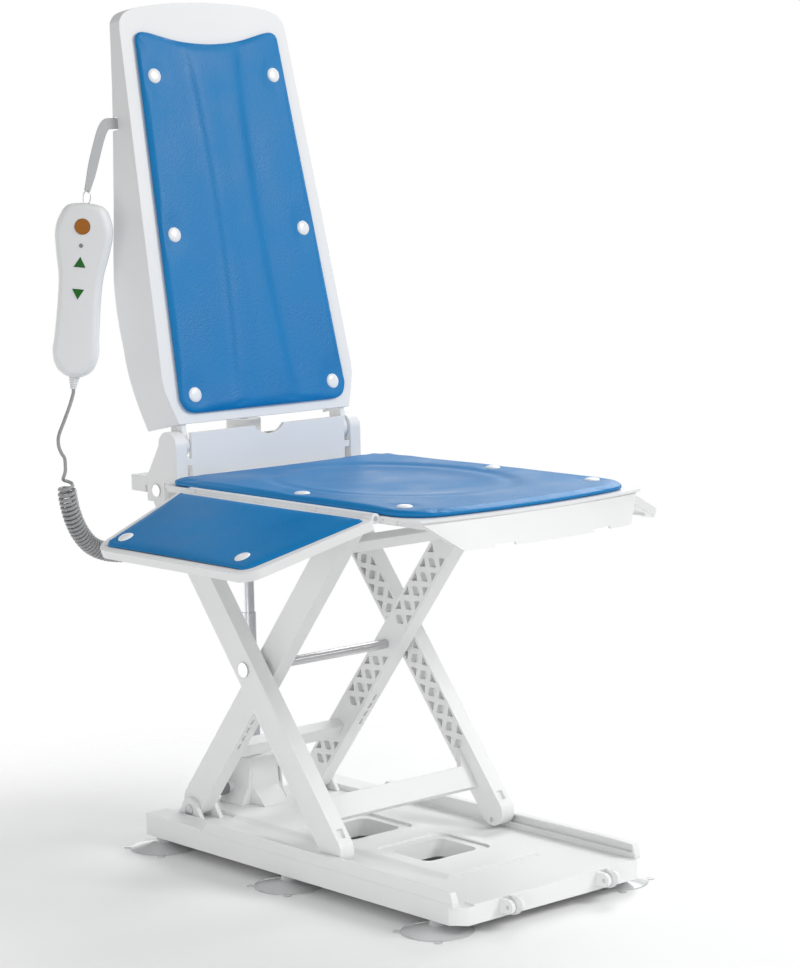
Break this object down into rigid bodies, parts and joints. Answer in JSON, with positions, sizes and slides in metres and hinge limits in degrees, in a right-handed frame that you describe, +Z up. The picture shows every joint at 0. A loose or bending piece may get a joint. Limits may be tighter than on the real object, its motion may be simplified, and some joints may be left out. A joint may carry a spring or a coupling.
{
  "type": "bath lift",
  "caption": "Folding bath lift: padded seat with side flaps on a scissor frame, reclining backrest, suction-cup base, telescopic column and corded handset.",
  "frame": {"origin": "on the floor under the middle of the part's outer box, cord left out", "axes": "+Z up, front of the seat toward -Y, sitter's right toward -X"},
  "size_m": [0.6546, 0.6574, 1.0538],
  "materials": {
    "white_plastic": "satin",
    "white_stud": "gloss",
    "light_grey_plastic": "satin",
    "grey_plastic": "satin",
    "pin_metal": "satin",
    "tube_metal": "satin",
    "cup_rubber": "gloss",
    "blue_pad": "leather grain",
    "grey_strap": "woven",
    "grey_cord": "satin",
    "orange_plastic": "satin",
    "green_plastic": "satin"
  },
  "bodies": {
    "base": {"base_tray": "white_plastic", "rail_right": "white_plastic", "rail_left": "white_plastic", "pivot_bracket_right": "white_plastic", "pivot_bracket_left": "white_plastic", "base_pins": "pin_metal", "cup_front_right": "cup_rubber", "cup_front_left": "cup_rubber", "cup_mid_right": "cup_rubber", "cup_mid_left": "cup_rubber", "cup_rear_right": "cup_rubber", "cup_rear_left": "cup_rubber", "column_foot": "white_plastic", "column_tube_base": "tube_metal"},
    "roller_right": {"roller_right": "light_grey_plastic"},
    "roller_left": {"roller_left": "light_grey_plastic"},
    "foot_latch": {"foot_latch": "grey_plastic"},
    "inner_legs": {"inner_leg_right": "white_plastic", "inner_leg_left": "white_plastic", "inner_crossbar_low": "white_plastic", "inner_crossbar_top": "white_plastic", "scissor_axle": "pin_metal"},
    "outer_legs": {"outer_leg_right": "white_plastic", "outer_leg_left": "white_plastic", "outer_crossbar": "white_plastic"},
    "lower_shoes": {"lower_shoes": "light_grey_plastic"},
    "upper_shoes": {"upper_shoes": "light_grey_plastic"},
    "column_stage_1": {"column_tube_low": "tube_metal"},
    "column_stage_2": {"column_tube_mid": "tube_metal"},
    "seat": {"seat_shell": "white_plastic", "seat_pad": "blue_pad", "seat_studs": "white_stud", "seat_channels": "white_plastic", "tower_right": "white_plastic", "tower_left": "white_plastic", "lumbar_panel": "white_plastic", "rear_beam": "white_plastic", "drive_housing": "white_plastic", "drive_motor": "grey_plastic", "column_tube_top": "tube_metal", "seat_pins": "pin_metal", "flap_rods": "pin_metal", "cord_coil": "grey_cord"},
    "flap_right": {"flap_right": "white_plastic", "flap_pad_right": "blue_pad", "flap_studs_right": "white_stud"},
    "flap_left": {"flap_left": "white_plastic", "flap_pad_left": "blue_pad", "flap_studs_left": "white_stud"},
    "backrest": {"backrest_shell": "white_plastic", "backrest_pad": "blue_pad", "backrest_studs": "white_stud", "backrest_lugs": "white_plastic", "handset_strap": "grey_strap", "handset_case": "white_plastic", "handset_battery": "white_plastic", "cord_lead": "grey_cord"},
    "stop_button": {"stop_button": "orange_plastic"},
    "up_button": {"up_button": "green_plastic"},
    "down_button": {"down_button": "green_plastic"}
  },
  "joints": [
    {"name": "lift", "type": "hinge", "parent": "base", "child": "inner_legs", "pos_m": [0, 0.23272, 0.046], "axis": [-1, 0, 0], "range_deg": [-48, 0], "deforming": ["cord_coil"]},
    {"name": "legs_cross", "type": "hinge", "parent": "inner_legs", "child": "outer_legs", "pos_m": [0, 0.07897, 0.251], "axis": [-1, 0, 0], "range_deg": [0, 96]},
    {"name": "seat_level", "type": "hinge", "parent": "outer_legs", "child": "seat", "pos_m": [0, 0.23272, 0.456], "axis": [-1, 0, 0], "range_deg": [-48, 0]},
    {"name": "lower_shoe_level", "type": "hinge", "parent": "outer_legs", "child": "lower_shoes", "pos_m": [0, -0.07478, 0.046], "axis": [-1, 0, 0], "range_deg": [-48, 0]},
    {"name": "upper_shoe_level", "type": "hinge", "parent": "inner_legs", "child": "upper_shoes", "pos_m": [0, -0.07478, 0.456], "axis": [-1, 0, 0], "range_deg": [0, 48]},
    {"name": "column_slide_1", "type": "slide", "parent": "base", "child": "column_stage_1", "axis": [0, 0, 1], "range_m": [-0.12159, 0]},
    {"name": "column_slide_2", "type": "slide", "parent": "base", "child": "column_stage_2", "axis": [0, 0, 1], "range_m": [-0.24298, 0]},
    {"name": "backrest_tilt", "type": "hinge", "parent": "seat", "child": "backrest", "pos_m": [0, 0.20897, 0.512], "axis": [-1, 0, 0], "range_deg": [-100, 40], "deforming": ["cord_coil"]},
    {"name": "flap_right_fold", "type": "hinge", "parent": "seat", "child": "flap_right", "pos_m": [-0.183, -0.00503, 0.468], "axis": [0, 1, 0], "range_deg": [0, 100]},
    {"name": "flap_left_fold", "type": "hinge", "parent": "seat", "child": "flap_left", "pos_m": [0.183, -0.00503, 0.468], "axis": [0, -1, 0], "range_deg": [0, 100]},
    {"name": "roller_right_spin", "type": "hinge", "parent": "base", "child": "roller_right", "pos_m": [-0.0766, -0.31873, 0.0275], "axis": [1, 0, 0], "continuous": true},
    {"name": "roller_left_spin", "type": "hinge", "parent": "base", "child": "roller_left", "pos_m": [0.0766, -0.31873, 0.0275], "axis": [1, 0, 0], "continuous": true},
    {"name": "foot_latch_turn", "type": "hinge", "parent": "base", "child": "foot_latch", "pos_m": [-0.0364, 0.25697, 0.058], "axis": [1, 0, 0], "range_deg": [0, 60]},
    {"name": "stop_press", "type": "slide", "parent": "backrest", "child": "stop_button", "axis": [0.7071, 0.7071, 0], "range_m": [0, 0.0012], "stiffness_N_per_m": 400},
    {"name": "up_press", "type": "slide", "parent": "backrest", "child": "up_button", "axis": [0.7071, 0.7071, 0], "range_m": [0, 0.0012], "stiffness_N_per_m": 400},
    {"name": "down_press", "type": "slide", "parent": "backrest", "child": "down_button", "axis": [0.7071, 0.7071, 0], "range_m": [0, 0.0012], "stiffness_N_per_m": 400}
  ],
  "couplings": [
    {"joint": "legs_cross", "follows": "lift", "ratio": -2},
    {"joint": "seat_level", "follows": "lift", "ratio": 1},
    {"joint": "lower_shoe_level", "follows": "lift", "ratio": 1},
    {"joint": "upper_shoe_level", "follows": "lift", "ratio": -1},
    {"joint": "column_slide_1", "follows": "lift", "m_per_rad": 0.1449},
    {"joint": "column_slide_2", "follows": "lift", "m_per_rad": 0.2898}
  ]
}
